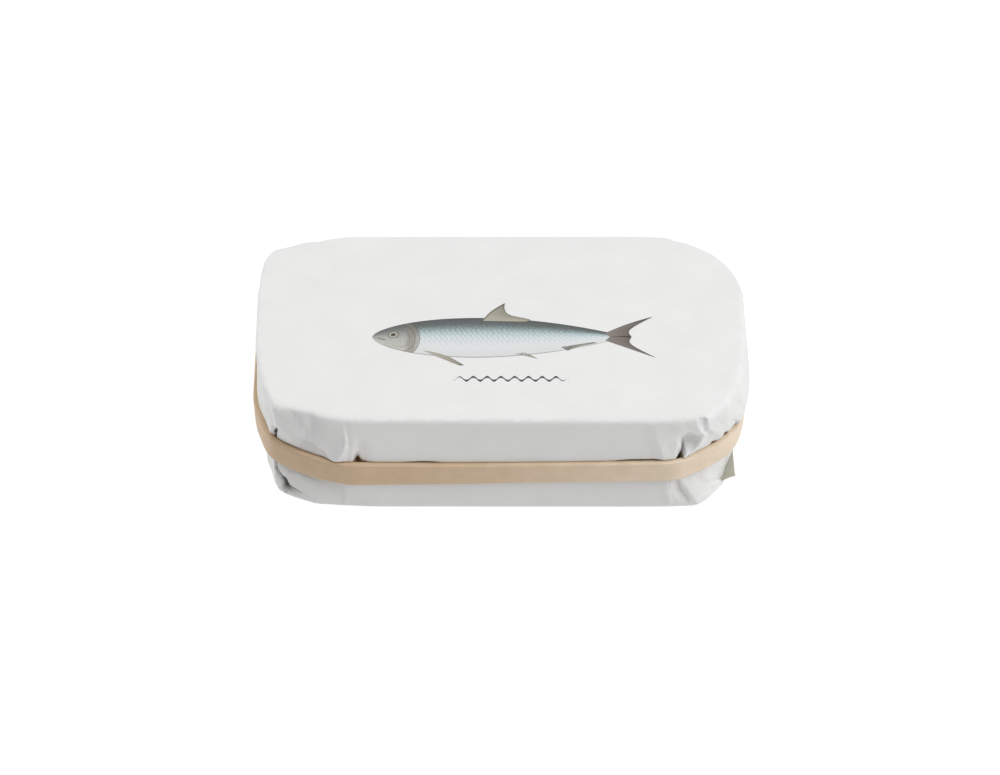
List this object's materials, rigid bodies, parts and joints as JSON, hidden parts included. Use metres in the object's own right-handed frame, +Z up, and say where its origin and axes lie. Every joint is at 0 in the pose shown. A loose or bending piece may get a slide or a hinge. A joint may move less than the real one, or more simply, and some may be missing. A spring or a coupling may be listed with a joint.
{
  "type": "sardine tin",
  "caption": "Flat rounded sardine tin wrapped in a sheet of white paper with pleated corners, held shut by a flat rubber band round its sides.",
  "frame": {"origin": "on the floor under the middle of the pack", "axes": "+X along the long side to the right as seen from the front, +Y from the front to the back, +Z up through the printed top"},
  "size_m": [0.1078, 0.064, 0.0249],
  "materials": {
    "white_paper": "matte",
    "tan_rubber": "matte"
  },
  "bodies": {
    "root": {"paper_wrap": "white_paper", "rubber_band": "tan_rubber"}
  },
  "joints": []
}
